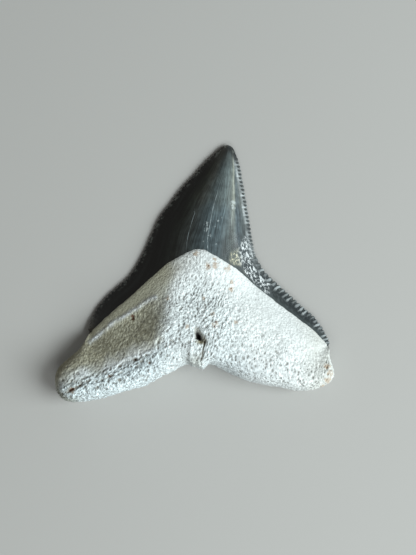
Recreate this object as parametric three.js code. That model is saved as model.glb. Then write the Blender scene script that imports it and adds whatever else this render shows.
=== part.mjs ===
// A fossil bull shark tooth: a broad cusp with long cutting shoulders on a two-lobed root.
// The tooth is one solid. It lies on its flat lip (labial) face with the tongue (lingual) face up.
// Millimetres. X runs across the root towards the distal lobe, Y from the root to the tip, Z is up.
// The origin is the middle of the tooth's box, on the surface that the tooth lies on.

import * as THREE from 'three';
import { ParametricGeometry } from 'three/addons/geometries/ParametricGeometry.js';
import { mergeGeometries, mergeVertices } from 'three/addons/utils/BufferGeometryUtils.js';

// Heights above the surface that the tooth lies on, and how the outline climbs from one to the other:
// the distance that evens them out, and the shares between which it climbs.
const CUTTING_EDGE_HEIGHT = 0.36;
const ROOT_MARGIN_HEIGHT = 1.35;
const MARGIN_CLIMB = { distance: 0.7, from: 0.15, to: 0.85 };

// Lingual face of the crown: how high each flank climbs from its cutting edge, and in what distance.
// Past the cusp's foot, on the shoulder, the distal flank gets gentler. The crown rolls over where it
// nears the root's ends.
const MESIAL_FLANK = { height: 2.6, reach: 3.6, power: 1.0 };
const DISTAL_FLANK = { height: 2.5, reach: 1.35, power: 1.25 };
const DISTAL_SHOULDER = { reach: 2.35, from: 0.8, to: 1.25 };
const CREST_ROUNDING = 0.9;
const CROWN_ROLL = { height: 4.0, width: 3.0, rounding: 0.2 };

// Lingual face of the root: a lip at the neck, then one face that leans to each side of the tooth,
// up to a rounded crest. The mesial face is a power of the distance, so it is a shallow hollow.
const NECK_LIP = { height: 0.12, reach: 0.12, power: 1.0 };
const NECK_BLEND = 1.3;
const MESIAL_FACE = { factor: 0.69, power: 0.68 };
const DISTAL_FACE_SLOPE = 0.055;
const FACE_ROUNDING = 1.6;

// The crest's own rise, along its line from the mesial lobe's end: it swells, then fades to the apex.
const CREST_RISE = { height: 0.9, swellFrom: -4, swellTo: 4, fadeFrom: 10, fadeTo: 16 };
const CREST_SIDES = { mesial: -2.8, top: 0.5, distalReach: 7 };

// The shelf past the crest, where the root flattens out at once; it ends out on the distal lobe.
const SHELF = { y: -2.2, depth: 0.65, above: 2.2, below: 4.5 };
const SHELF_REACH = { startFrom: -0.7, startTo: 2.6, endFrom: 2, endTo: 9 };

// The boss above the foramen, and the roll down to the basal margin: lower out along the lobes, and
// sharper beside the notch.
const BOSS = { x: -0.2, y: -5.8, height: 0.7, halfLength: 4.6, halfWidth: 3.6 };
const BASAL_ROLL = { height: 3.1, width: 3.2, rounding: 1.0 };
const BASAL_MIDDLE = { x: -0.5, extraHeight: 1.4, halfLength: 7.0 };
const NOTCH_ROLL = { x: 0.5, y: -8.7, lessWidth: 2.0, halfLength: 1.7, halfWidth: 1.5 };

// Labial face: width of the bevel along the cutting edges and of the rounding along the root,
// and the shallow trough that the root has just below the crown's foot.
const LABIAL_BEVEL = 1.4;
const LABIAL_ROUNDING = 1.3;
const FOOT_TROUGH = { depth: 0.3, step: 0.5, width: 2.4 };

// Nutrient groove: a shallow furrow down to the basal notch, with the foramen's blind pit at its head.
const GROOVE = { x: 0.62, halfWidth: 0.6, depth: 0.35, topY: -6.2, fade: 0.5 };
const FORAMEN = { x: 0.45, y: -5.7, halfLength: 0.55, halfWidth: 0.55, height: 0.8 };

// Mesh density: strips across the tooth, and steps along the cusp and along each lobe.
const ACROSS = 20;
const CUSP_STEPS = 20;
const LOBE_STEPS = 24;
const OUTLINE_SAMPLES = 160;
const CROWDING = 0.11;
const WELD_DISTANCE = 1e-3;

// Outline, from the middle of the tooth's box. Each side runs from the tip, along the cutting edge
// and the shoulder, to the end of its root lobe; each base runs from the basal notch to the lobe end.
const TIP = [3.18, 12.05];
const NOTCH = [0.85, -9.02];
const MESIAL_LOBE_END = [-13.04, -10.11];
const DISTAL_LOBE_END = [13.04, -9.54];

const mesialSide = outline([
  TIP, [2.74, 11.94], [2.28, 11.57], [1.41, 10.72], [0.14, 9.35], [-1.29, 7.81], [-2.28, 6.46],
  [-3.29, 5.11], [-4.04, 3.56], [-4.66, 2.15], [-5.35, 0.8], [-6.28, -0.53], [-7.86, -1.94],
  [-9.07, -3.29], [-9.82, -4.73], [-10.03, -5.98], [-10.74, -7.12], [-12.02, -8.25],
  [-12.81, -9.05], MESIAL_LOBE_END,
]);
const distalSide = outline([
  TIP, [3.6, 11.77], [3.9, 11.14], [4.25, 10.01], [4.51, 8.6], [4.84, 6.72], [5.12, 4.93],
  [5.34, 3.43], [5.6, 2.12], [6.0, 1.07], [6.6, 0.09], [7.26, -0.62], [8.01, -1.27], [9.97, -3.07],
  [11.41, -4.37], [12.29, -5.72], [12.7, -6.78], [12.58, -7.75], [12.85, -8.65], DISTAL_LOBE_END,
]);
const mesialBase = outline([
  NOTCH, [0.42, -8.84], [-0.14, -8.68], [-0.7, -8.58], [-2.49, -9.44], [-4.56, -10.44],
  [-6.53, -11.08], [-8.51, -11.69], [-10.39, -12.0], [-11.93, -11.94], [-12.75, -11.2],
  MESIAL_LOBE_END,
]);
const distalBase = outline([
  NOTCH, [1.08, -8.78], [1.55, -8.57], [2.87, -9.15], [4.37, -9.92], [6.06, -10.4],
  [7.94, -10.73], [9.63, -11.03], [11.2, -10.92], [12.48, -10.33], DISTAL_LOBE_END,
]);

// Where the cutting edges end and the root begins, as a fraction of each side's length.
const MESIAL_SHOULDER_END = 0.795;
const DISTAL_SHOULDER_END = 0.885;

// Where the cusp's foot meets each side, as a fraction of the side's length.
const MESIAL_CUSP_FOOT = 0.44;
const DISTAL_CUSP_FOOT = 0.42;

// Edge of the enamel on each face, from the mesial shoulder end to the distal one.
const lingualNeck = outline([
  [-10.06, -5.9], [-8.28, -4.21], [-6.38, -2.57], [-5.09, -1.42], [-3.75, -0.22], [-2.59, 0.79],
  [-1.69, 1.33], [-0.67, 1.86], [-0.05, 2.09], [0.87, 2.13], [1.62, 1.74], [2.75, 1.1], [4.09, 0.2],
  [5.22, -0.8], [6.44, -1.83], [8.1, -3.1], [9.77, -4.35], [11.1, -5.36], [12.24, -6.52],
  [12.65, -6.95],
]);
const labialNeck = outline([
  [-10.06, -5.9], [-7.5, -4.9], [-4.0, -4.45], [0.5, -4.35], [5.0, -4.7], [9.0, -5.6], [12.65, -6.95],
]);

// The root's highest line, from the mesial lobe's end in to the boss and up to the apex.
const mainCrest = outline([
  [-12.9, -10.0], [-10.5, -9.15], [-8.6, -8.55], [-6.2, -7.6], [-3.75, -6.4], [-2.4, -4.28],
  [-2.02, -2.12], [-1.65, 0.24], [-1.4, 2.2], [-1.1, 6.0],
]);

/** A smooth curve through the given points. */
function outline(points) {
  return new THREE.SplineCurve(points.map(([x, y]) => new THREE.Vector2(x, y)));
}

/** Evenly spaced points on part of a curve, given as fractions of its length. */
function stretch(curve, from, to) {
  const points = [];
  for (let i = 0; i <= OUTLINE_SAMPLES; i += 1) {
    points.push(curve.getPointAt(from + ((to - from) * i) / OUTLINE_SAMPLES));
  }
  return points;
}

/** The nearest place on a chain of evenly spaced points: how far off, and what share along it. */
function nearestOn(chain, x, y) {
  let nearest = { gap: Infinity, share: 0 };
  for (let i = 1; i < chain.length; i += 1) {
    const start = chain[i - 1];
    const step = new THREE.Vector2().subVectors(chain[i], start);
    const offset = new THREE.Vector2(x - start.x, y - start.y);
    const part = THREE.MathUtils.clamp(offset.dot(step) / step.lengthSq(), 0, 1);
    const gap = offset.addScaledVector(step, -part).length();
    if (gap < nearest.gap) nearest = { gap, share: (i - 1 + part) / (chain.length - 1) };
  }
  return nearest;
}

/** The Y of a chain that runs from left to right, at the given X. */
function chainHeightAt(chain, x) {
  if (x <= chain[0].x) return chain[0].y;
  for (let i = 1; i < chain.length; i += 1) {
    if (x <= chain[i].x) {
      const share = (x - chain[i - 1].x) / (chain[i].x - chain[i - 1].x);
      return THREE.MathUtils.lerp(chain[i - 1].y, chain[i].y, share);
    }
  }
  return chain[chain.length - 1].y;
}

/** How far a point is below a chain that runs from left to right; above the chain it is negative. */
function depthBelow(chain, x, y) {
  const { gap } = nearestOn(chain, x, y);
  return y < chainHeightAt(chain, x) ? gap : -gap;
}

/** The smallest of several distances without creases, by adding their minus fourth powers. */
function softNearest(...gaps) {
  const total = gaps.reduce((sum, gap) => sum + Math.max(gap, 1e-6) ** -4, 0);
  return total ** -0.25;
}

/** A bell-shaped hump round a place: its height there, falling off over its half sizes. */
function hump({ x, y, height, halfLength, halfWidth }, atX, atY) {
  const u = (atX - x) / halfLength;
  const v = (atY - y) / halfWidth;
  return height * Math.exp(-u * u - v * v);
}

/** A climb that starts at nothing and levels out at its height. */
function climb(distance, { height, reach, power }) {
  return height * (1 - Math.exp(-((distance / reach) ** power)));
}

/** The smaller of two heights, with the crease between them rounded over the given height. */
function smoothMin(a, b, rounding) {
  const overlap = Math.max(rounding - Math.abs(a - b), 0) / rounding;
  return Math.min(a, b) - (overlap * overlap * rounding) / 4;
}

const mesialEdge = stretch(mesialSide, 0, MESIAL_SHOULDER_END);
const distalEdge = stretch(distalSide, 0, DISTAL_SHOULDER_END);
const mesialLobeMargin = stretch(mesialSide, MESIAL_SHOULDER_END, 1);
const distalLobeMargin = stretch(distalSide, DISTAL_SHOULDER_END, 1);
const mesialBasalMargin = stretch(mesialBase, 0, 1);
const distalBasalMargin = stretch(distalBase, 0, 1);
const lingualNeckLine = stretch(lingualNeck, 0, 1);
const labialNeckLine = stretch(labialNeck, 0, 1);
const mainCrestLine = stretch(mainCrest, 0, 1);
const mainCrestLength = mainCrest.getLength();

/** Distances from a point to the tooth's edges, and how far down the distal edge the point is. */
function distances(x, y) {
  const distal = nearestOn(distalEdge, x, y);
  const toMesial = nearestOn(mesialEdge, x, y).gap;
  const rootMargins = [mesialLobeMargin, mesialBasalMargin, distalBasalMargin, distalLobeMargin];
  return {
    toMesial,
    toDistal: distal.gap,
    downCusp: (distal.share * DISTAL_SHOULDER_END) / DISTAL_CUSP_FOOT,
    toCrown: softNearest(toMesial, distal.gap),
    toRoot: softNearest(...rootMargins.map((margin) => nearestOn(margin, x, y).gap)),
  };
}

/** Height of the outline: low at the cutting edges, higher round the thick root. */
function marginHeight({ toCrown, toRoot }) {
  const { distance, from, to } = MARGIN_CLIMB;
  const share = (toCrown + distance) / (toCrown + toRoot + 2 * distance);
  const rootShare = THREE.MathUtils.smoothstep(share, from, to);
  return THREE.MathUtils.lerp(CUTTING_EDGE_HEIGHT, ROOT_MARGIN_HEIGHT, rootShare);
}

/** A quarter round: 0 at the edge, 1 at the given distance inside it. */
function quarterRound(distance, width) {
  const left = 1 - Math.min(distance / width, 1);
  return Math.sqrt(1 - left * left);
}

/** Height of the distal flank, which gets gentler from the cusp's foot out along the shoulder. */
function distalFlank({ toDistal, downCusp }) {
  const onShoulder = THREE.MathUtils.smoothstep(downCusp, DISTAL_SHOULDER.from, DISTAL_SHOULDER.to);
  const reach = THREE.MathUtils.lerp(DISTAL_FLANK.reach, DISTAL_SHOULDER.reach, onShoulder);
  return climb(toDistal, { ...DISTAL_FLANK, reach });
}

/** The crown's two flanks, met in a rounded ridge. */
function crownHeight(near) {
  const mesialFlank = climb(near.toMesial, MESIAL_FLANK);
  return Math.max(smoothMin(mesialFlank, distalFlank(near), CREST_ROUNDING), 0);
}

/** What the root's crest adds: steep on its mesial side, and drawn out on its distal side. */
function crestRise(x, y) {
  const { height, swellFrom, swellTo, fadeFrom, fadeTo } = CREST_RISE;
  const along = nearestOn(mainCrestLine, x, y).share * mainCrestLength;
  const below = depthBelow(mainCrestLine, x, y);
  const swell = THREE.MathUtils.smoothstep(along, swellFrom, swellTo);
  const fade = 1 - THREE.MathUtils.smoothstep(along, fadeFrom, fadeTo);
  const side = THREE.MathUtils.smoothstep(below, CREST_SIDES.mesial, CREST_SIDES.top);
  return height * swell * fade * side * Math.exp(-Math.max(below, 0) / CREST_SIDES.distalReach);
}

/** What the shelf takes off the root, past the crest. */
function shelfDepth(x, y) {
  const { startFrom, startTo, endFrom, endTo } = SHELF_REACH;
  const offMiddle = (y - SHELF.y) / (y > SHELF.y ? SHELF.above : SHELF.below);
  const start = THREE.MathUtils.smoothstep(depthBelow(mainCrestLine, x, y), startFrom, startTo);
  const end = 1 - THREE.MathUtils.smoothstep(x, endFrom, endTo);
  return SHELF.depth * Math.exp(-offMiddle * offMiddle) * start * end;
}

/** The round face that the root rolls over to its basal margin on. */
function basalFace(x, y, { toRoot }) {
  const sharper = hump({ ...NOTCH_ROLL, height: NOTCH_ROLL.lessWidth }, x, y);
  const offMiddle = (x - BASAL_MIDDLE.x) / BASAL_MIDDLE.halfLength;
  const extra = BASAL_MIDDLE.extraHeight * Math.exp(-offMiddle * offMiddle);
  return (BASAL_ROLL.height + extra) * quarterRound(toRoot, BASAL_ROLL.width - sharper);
}

/** Depth of the nutrient groove and of the foramen at its head. */
function grooveDepth(x, y) {
  const offCentre = (x - GROOVE.x) / GROOVE.halfWidth;
  const open = 1 - THREE.MathUtils.smoothstep(y, GROOVE.topY - GROOVE.fade, GROOVE.topY + GROOVE.fade);
  return GROOVE.depth * open * Math.exp(-offCentre * offCentre) + hump(FORAMEN, x, y);
}

/** Upper face: the crown's two flanks above the neck, and the swollen root below it. */
function lingualHeight(x, y) {
  const near = distances(x, y);
  const margin = marginHeight(near);
  const crown = crownHeight(near);
  const belowNeck = depthBelow(lingualNeckLine, x, y);
  if (belowNeck <= 0) {
    const roll = CROWN_ROLL.height * quarterRound(near.toRoot, CROWN_ROLL.width);
    return margin + Math.max(smoothMin(crown, roll, CROWN_ROLL.rounding), 0);
  }
  const mesialFace = MESIAL_FACE.factor * near.toMesial ** MESIAL_FACE.power;
  const distalFace = distalFlank(near) + DISTAL_FACE_SLOPE * near.toDistal;
  const crest = crestRise(x, y) + hump(BOSS, x, y) - shelfDepth(x, y);
  const faces = smoothMin(mesialFace, distalFace, FACE_ROUNDING) + crest;
  const root = smoothMin(faces, basalFace(x, y, near), BASAL_ROLL.rounding);
  const rootShare = THREE.MathUtils.smoothstep(belowNeck, 0, NECK_BLEND);
  const bulge = THREE.MathUtils.lerp(crown, root, rootShare) + climb(belowNeck, NECK_LIP);
  return margin + Math.max(bulge - grooveDepth(x, y), 0);
}

/** Lower face: flat, bevelled to the cutting edges, with a trough where the root leaves the crown. */
function labialHeight(x, y) {
  const near = distances(x, y);
  const margin = marginHeight(near);
  const belowFoot = Math.max(depthBelow(labialNeckLine, x, y), 0);
  const stepIn = THREE.MathUtils.smoothstep(belowFoot, 0, FOOT_TROUGH.step);
  const stepOut = THREE.MathUtils.smoothstep(belowFoot, FOOT_TROUGH.step, FOOT_TROUGH.width);
  const floor = FOOT_TROUGH.depth * stepIn * (1 - stepOut);
  const bevel = Math.max(1 - near.toCrown / LABIAL_BEVEL, 0) ** 2;
  const rounding = 1 - quarterRound(near.toRoot, LABIAL_ROUNDING);
  return floor + (margin - floor) * Math.max(bevel, rounding);
}

/** Share of the way across a strip, crowded towards both of its ends. */
function across(share) {
  return share - CROWDING * Math.sin(2 * Math.PI * share);
}

/** A strip of the outline's inside, between two sides: s runs across it and t along it. */
function strip(left, leftFrom, right, rightFrom) {
  return (s, t) => {
    const start = left.getPointAt(THREE.MathUtils.lerp(leftFrom, 1, t));
    const end = right.getPointAt(THREE.MathUtils.lerp(rightFrom, 1, t));
    return start.lerp(end, across(s));
  };
}

/** The cusp's strip, from its foot to the tip. */
function cusp(s, t) {
  const start = mesialSide.getPointAt(MESIAL_CUSP_FOOT * (1 - t));
  const end = distalSide.getPointAt(DISTAL_CUSP_FOOT * (1 - t));
  return start.lerp(end, across(s));
}

const mesialLobe = strip(mesialBase, 0, mesialSide, MESIAL_CUSP_FOOT);
const distalLobe = strip(distalSide, DISTAL_CUSP_FOOT, distalBase, 0);

/** The triangle where the three strips meet is three four-sided patches, one at each corner. */
function cornerPatch(corner, nextCorner, lastCorner) {
  const centre = new THREE.Vector2().add(corner).add(nextCorner).add(lastCorner).divideScalar(3);
  const nextMiddle = corner.clone().lerp(nextCorner, 0.5);
  const lastMiddle = corner.clone().lerp(lastCorner, 0.5);
  return (s, t) => {
    const along = 2 * across(s / 2);
    const up = 2 * across(t / 2);
    const near = corner.clone().lerp(nextMiddle, along);
    const far = lastMiddle.clone().lerp(centre, along);
    return near.lerp(far, up);
  };
}

const mesialFoot = mesialSide.getPointAt(MESIAL_CUSP_FOOT);
const distalFoot = distalSide.getPointAt(DISTAL_CUSP_FOOT);
const notch = new THREE.Vector2(...NOTCH);

const HALF = ACROSS / 2;
const sidesAndEnd = (s, t) => s === 0 || s === 1 || t === 1;
const cornerOnly = (s, t) => s === 0 && t === 0;

const patches = [
  { at: cusp, isRim: sidesAndEnd, s: ACROSS, t: CUSP_STEPS },
  { at: mesialLobe, isRim: sidesAndEnd, s: ACROSS, t: LOBE_STEPS },
  { at: distalLobe, isRim: sidesAndEnd, s: ACROSS, t: LOBE_STEPS },
  { at: cornerPatch(mesialFoot, notch, distalFoot), isRim: cornerOnly, s: HALF, t: HALF },
  { at: cornerPatch(notch, distalFoot, mesialFoot), isRim: cornerOnly, s: HALF, t: HALF },
  { at: cornerPatch(distalFoot, mesialFoot, notch), isRim: cornerOnly, s: HALF, t: HALF },
];

/** One face of one patch. The lower face is laid mirror-wise, so that it faces down. */
function face({ at, isRim, s, t }, height, mirrored) {
  const surface = (u, v, target) => {
    const share = mirrored ? 1 - u : u;
    const { x, y } = at(share, v);
    target.set(x, y, isRim(share, v) ? marginHeight(distances(x, y)) : height(x, y));
  };
  return new ParametricGeometry(surface, s, t);
}

/** Joins closed patches on their shared points and leaves out triangles that have no area. */
function closeBody(geometries) {
  const joined = mergeGeometries(geometries);
  joined.deleteAttribute('normal');
  joined.deleteAttribute('uv');
  const welded = mergeVertices(joined, WELD_DISTANCE);
  const corners = welded.index.array;
  const kept = [];
  for (let i = 0; i < corners.length; i += 3) {
    const [a, b, c] = corners.subarray(i, i + 3);
    if (a !== b && b !== c && c !== a) kept.push(a, b, c);
  }
  welded.setIndex(kept);
  return welded;
}

const skin = [];
for (const patch of patches) {
  skin.push(face(patch, lingualHeight, false));
  skin.push(face(patch, labialHeight, true));
}

/** Puts the origin in the middle of the tooth's box, on the surface below it. */
function settle(geometry) {
  geometry.computeBoundingBox();
  const { min, max } = geometry.boundingBox;
  geometry.translate(-(min.x + max.x) / 2, -(min.y + max.y) / 2, -min.z);
  geometry.computeVertexNormals();
  return geometry;
}

const tooth = new THREE.Mesh(
  settle(closeBody(skin)),
  new THREE.MeshStandardMaterial({ color: 0xb9b8b0, roughness: 0.7, metalness: 0 }),
);
tooth.name = 'tooth';

const group = new THREE.Group();
group.add(tooth);

export default group;
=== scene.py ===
import bpy
import numpy as np
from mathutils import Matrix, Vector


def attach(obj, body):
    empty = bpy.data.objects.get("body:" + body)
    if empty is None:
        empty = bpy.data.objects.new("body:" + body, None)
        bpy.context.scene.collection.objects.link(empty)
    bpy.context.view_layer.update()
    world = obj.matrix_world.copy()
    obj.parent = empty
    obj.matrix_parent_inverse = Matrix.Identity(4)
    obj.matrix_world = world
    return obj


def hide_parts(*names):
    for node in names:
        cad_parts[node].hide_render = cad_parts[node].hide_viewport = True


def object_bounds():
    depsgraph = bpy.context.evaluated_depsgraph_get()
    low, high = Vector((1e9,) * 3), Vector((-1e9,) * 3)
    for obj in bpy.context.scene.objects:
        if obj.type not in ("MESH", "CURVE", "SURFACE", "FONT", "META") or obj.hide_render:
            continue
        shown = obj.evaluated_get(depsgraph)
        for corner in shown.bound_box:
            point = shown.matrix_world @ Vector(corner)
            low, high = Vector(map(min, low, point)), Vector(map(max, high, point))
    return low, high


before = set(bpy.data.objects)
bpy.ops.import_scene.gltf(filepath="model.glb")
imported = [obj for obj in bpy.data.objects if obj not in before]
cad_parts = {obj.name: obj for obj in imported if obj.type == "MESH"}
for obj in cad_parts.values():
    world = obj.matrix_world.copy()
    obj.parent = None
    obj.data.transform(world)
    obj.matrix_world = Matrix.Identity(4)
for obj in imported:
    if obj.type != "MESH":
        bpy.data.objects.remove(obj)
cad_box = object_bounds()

# ------------------------------------------------
# The tooth's outline. One loose upper tooth, grown in one piece: a leaning cusp, two long cutting
# shoulders and a two-lobed root. It lies on its lip face, so its outline is seen from above.
# Everything about the tooth is in millimetres from the middle of its box until it becomes a mesh.
# ------------------------------------------------
TIP = (3.18, 12.05)
NOTCH = (0.85, -9.02)
MESIAL_LOBE_END = (-13.04, -10.11)
DISTAL_LOBE_END = (13.04, -9.54)

# Each side runs from the tip, down the cutting edge and along the shoulder, to its lobe's end.
MESIAL_SIDE = [
    TIP, (2.74, 11.94), (2.28, 11.57), (1.41, 10.72), (0.14, 9.35), (-1.29, 7.81), (-2.28, 6.46),
    (-3.29, 5.11), (-4.04, 3.56), (-4.66, 2.15), (-5.35, 0.8), (-6.28, -0.53), (-7.86, -1.94),
    (-9.07, -3.29), (-9.82, -4.73), (-10.03, -5.98), (-10.74, -7.12), (-12.02, -8.25),
    (-12.81, -9.05), MESIAL_LOBE_END,
]
DISTAL_SIDE = [
    TIP, (3.6, 11.77), (3.9, 11.14), (4.25, 10.01), (4.51, 8.6), (4.84, 6.72), (5.12, 4.93),
    (5.34, 3.43), (5.6, 2.12), (6.0, 1.07), (6.6, 0.09), (7.26, -0.62), (8.01, -1.27), (9.97, -3.07),
    (11.41, -4.37), (12.29, -5.72), (12.7, -6.78), (12.58, -7.75), (12.85, -8.65), DISTAL_LOBE_END,
]
# Each base runs from the basal notch, along the underside of its lobe, to the lobe's end.
MESIAL_BASE = [
    NOTCH, (0.42, -8.84), (-0.14, -8.68), (-0.7, -8.58), (-2.49, -9.44), (-4.56, -10.44),
    (-6.53, -11.08), (-8.51, -11.69), (-10.39, -12.0), (-11.93, -11.94), (-12.75, -11.2),
    MESIAL_LOBE_END,
]
DISTAL_BASE = [
    NOTCH, (1.08, -8.78), (1.55, -8.57), (2.87, -9.15), (4.37, -9.92), (6.06, -10.4),
    (7.94, -10.73), (9.63, -11.03), (11.2, -10.92), (12.48, -10.33), DISTAL_LOBE_END,
]
# The enamel's edge on each face, from the mesial shoulder's end to the distal one.
LINGUAL_NECK = [
    (-10.06, -5.9), (-8.28, -4.21), (-6.38, -2.57), (-5.09, -1.42), (-3.75, -0.22), (-2.59, 0.79),
    (-1.69, 1.33), (-0.67, 1.86), (-0.05, 2.09), (0.87, 2.13), (1.62, 1.74), (2.75, 1.1),
    (4.09, 0.2), (5.22, -0.8), (6.44, -1.83), (8.1, -3.1), (9.77, -4.35), (11.1, -5.36),
    (12.24, -6.52), (12.65, -6.95),
]
LABIAL_NECK = [
    (-10.06, -5.9), (-7.5, -4.9), (-4.0, -4.45), (0.5, -4.35), (5.0, -4.7), (9.0, -5.6),
    (12.65, -6.95),
]

# Shares of each side's length at which the cusp's foot and the shoulder's end lie.
MESIAL_FOOT, MESIAL_SHOULDER_END = 0.44, 0.795
DISTAL_FOOT, DISTAL_SHOULDER_END = 0.42, 0.885
# Straight pieces that stand for the curve between two points of an outline.
CURVE_STEPS = 60


def smooth_line(points, shares):
    """Points on a Catmull-Rom curve through the given ones, at the given shares of its length.

    Between two points the curve is the cubic that passes through both and leaves each of them
    parallel to the line that joins its neighbours.
    """
    knots = np.array(points, float)
    before = np.vstack([knots[:1], knots[:-2]])
    after = np.vstack([knots[2:], knots[-1:]])
    start, end = knots[:-1], knots[1:]
    leave, arrive = (end - before) / 2, (after - start) / 2
    t = np.linspace(0, 1, CURVE_STEPS, endpoint=False)[:, None, None]
    cubic = (2 * start - 2 * end + leave + arrive) * t ** 3
    cubic = cubic + (3 * end - 3 * start - 2 * leave - arrive) * t ** 2 + leave * t + start
    fine = np.vstack([cubic.transpose(1, 0, 2).reshape(-1, 2), knots[-1:]])
    run = np.append(0, np.cumsum(np.hypot(*np.diff(fine, axis=0).T)))
    wanted = np.asarray(shares) * run[-1]
    return np.stack([np.interp(wanted, run, fine[:, 0]), np.interp(wanted, run, fine[:, 1])], -1)


# ------------------------------------------------
# The sheet that both faces are raised from. Three strips of quads, one up the cusp and one out
# along each lobe, meet in a triangle made of three corner patches. Rows along the cutting edges
# are set so that every serration gets the same number of them.
# ------------------------------------------------
ROWS_PER_SERRATION = 4
CUSP_SERRATIONS = 28
SHOULDER_SERRATIONS = 24
MESIAL_ROOT_ROWS = 68
DISTAL_ROOT_ROWS = 50
ACROSS = 144
FINER_OUTWARDS = 0.26
CROWDING = 0.05

cusp_rows = np.linspace(1, 0, CUSP_SERRATIONS * ROWS_PER_SERRATION + 1)
shoulder_rows = np.linspace(0, 1, SHOULDER_SERRATIONS * ROWS_PER_SERRATION + 1)
# The distal shoulder's serrations get finer outwards, the mesial ones keep one size.
coarse_to_fine = (1 + FINER_OUTWARDS) * shoulder_rows - FINER_OUTWARDS * shoulder_rows ** 2


def lobe_shares(foot, shoulder_end, spread, root_rows):
    """Shares of a side's length for the rows of its lobe: the shoulder's, then the root's."""
    shoulder = foot + (shoulder_end - foot) * spread
    root = np.linspace(shoulder_end, 1, root_rows + 1)[1:]
    return np.append(shoulder, root)


mesial_shares = lobe_shares(MESIAL_FOOT, MESIAL_SHOULDER_END, shoulder_rows, MESIAL_ROOT_ROWS)
distal_shares = lobe_shares(DISTAL_FOOT, DISTAL_SHOULDER_END, coarse_to_fine, DISTAL_ROOT_ROWS)
# Rows crowd towards both margins, where the faces bend most.
crowded = np.linspace(0, 1, ACROSS + 1)
crowded -= CROWDING * np.sin(2 * np.pi * crowded)


def strip(left, right):
    """Quads between two margins: row i runs straight from left[i] to right[i]."""
    return left[:, None] + (right - left)[:, None] * crowded[None, :, None]


def corner_patch(corner, following, previous):
    """One third of the triangle: a four-sided patch from a corner to the triangle's middle.

    Its points blend in a straight line from the near side, along the triangle, to the far side.
    """
    middle = (corner + following + previous) / 3
    half = 2 * crowded[: ACROSS // 2 + 1]
    s, t = half[None, :, None], half[:, None, None]
    near_side = corner + (following - corner) / 2 * s
    far_side = (corner + previous) / 2 * (1 - s) + middle * s
    return near_side * (1 - t) + far_side * t


cusp_mesial = smooth_line(MESIAL_SIDE, MESIAL_FOOT * cusp_rows)
cusp_distal = smooth_line(DISTAL_SIDE, DISTAL_FOOT * cusp_rows)
lobe_mesial = smooth_line(MESIAL_SIDE, mesial_shares)
lobe_distal = smooth_line(DISTAL_SIDE, distal_shares)
base_mesial = smooth_line(MESIAL_BASE, (mesial_shares - MESIAL_FOOT) / (1 - MESIAL_FOOT))
base_distal = smooth_line(DISTAL_BASE, (distal_shares - DISTAL_FOOT) / (1 - DISTAL_FOOT))
mesial_corner, distal_corner, notch = cusp_mesial[0], cusp_distal[0], np.array(NOTCH)

patches = [
    strip(cusp_mesial, cusp_distal),
    strip(base_mesial, lobe_mesial),
    strip(lobe_distal, base_distal),
    corner_patch(mesial_corner, notch, distal_corner),
    corner_patch(notch, distal_corner, mesial_corner),
    corner_patch(distal_corner, mesial_corner, notch),
]


def patch_quads(ids):
    """Corner numbers of a patch's quads, anticlockwise from above."""
    return np.stack([ids[:-1, :-1], ids[:-1, 1:], ids[1:, 1:], ids[1:, :-1]], -1).reshape(-1, 4)


# Points that two patches share become one: they agree to far less than a micrometre.
loose = np.vstack([patch.reshape(-1, 2) for patch in patches])
same = np.unique(np.round(loose, 5), axis=0, return_index=True, return_inverse=True)
first_of, weld = same[1:]
sheet = loose[first_of]
patch_ends = np.cumsum([patch.shape[0] * patch.shape[1] for patch in patches])
patch_ids = [
    ids.reshape(patch.shape[:2])
    for ids, patch in zip(np.split(weld.reshape(-1), patch_ends[:-1]), patches)
]
strip_ids, corner_ids = patch_ids[:3], patch_ids[3:]

# The lip face is plainer, so it gets every third point across.
lingual_quads = np.vstack([patch_quads(ids) for ids in patch_ids])
labial_quads = np.vstack(
    [patch_quads(ids[:, ::3]) for ids in strip_ids]
    + [patch_quads(ids[::3, ::3]) for ids in corner_ids]
)

is_rim = np.zeros(len(sheet), bool)
for ids in strip_ids:
    is_rim[ids[:, [0, -1]]] = True
    is_rim[ids[-1]] = True


# ------------------------------------------------
# How far every point of the sheet is from the tooth's edges. The cutting edges, the root's margins
# and the enamel's two edges are what all the relief below is measured from.
# ------------------------------------------------
def nearest_on(line, points):
    """For each point: its distance to a chain of straight pieces, and how far along that place is.

    The nearest place on a piece is the foot of the perpendicular, kept between the piece's ends.
    """
    start, piece = line[:-1], np.diff(line, axis=0)
    length = np.hypot(*piece.T)
    run = np.append(0, np.cumsum(length))[:-1]
    gaps, places = [], []
    for block in np.array_split(points, max(len(points) // 2000, 1)):
        offset = block[:, None] - start
        share = np.clip((offset * piece).sum(-1) / length ** 2, 0, 1)
        gap = np.hypot(*(offset - share[..., None] * piece).transpose(2, 0, 1))
        best = gap.argmin(1)
        row = np.arange(len(block))
        gaps.append(gap[row, best])
        places.append(run[best] + share[row, best] * length[best])
    return np.concatenate(gaps), np.concatenate(places)


def signed_distance(line, points):
    """Distance to a line that runs from left to right: above it is positive, below it negative."""
    above = points[:, 1] > np.interp(points[:, 0], line[:, 0], line[:, 1])
    return np.where(above, 1, -1) * nearest_on(line, points)[0]


def smoothstep(value, low, high):
    """0 below low, 1 above high, and an S-shaped cubic between them."""
    t = np.clip((value - low) / (high - low), 0, 1)
    return t * t * (3 - 2 * t)


def soft_nearest(*distances):
    """The smallest of several distances without creases: their minus fourth powers are added."""
    return sum(np.maximum(d, 1e-6) ** -4 for d in distances) ** -0.25


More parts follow.
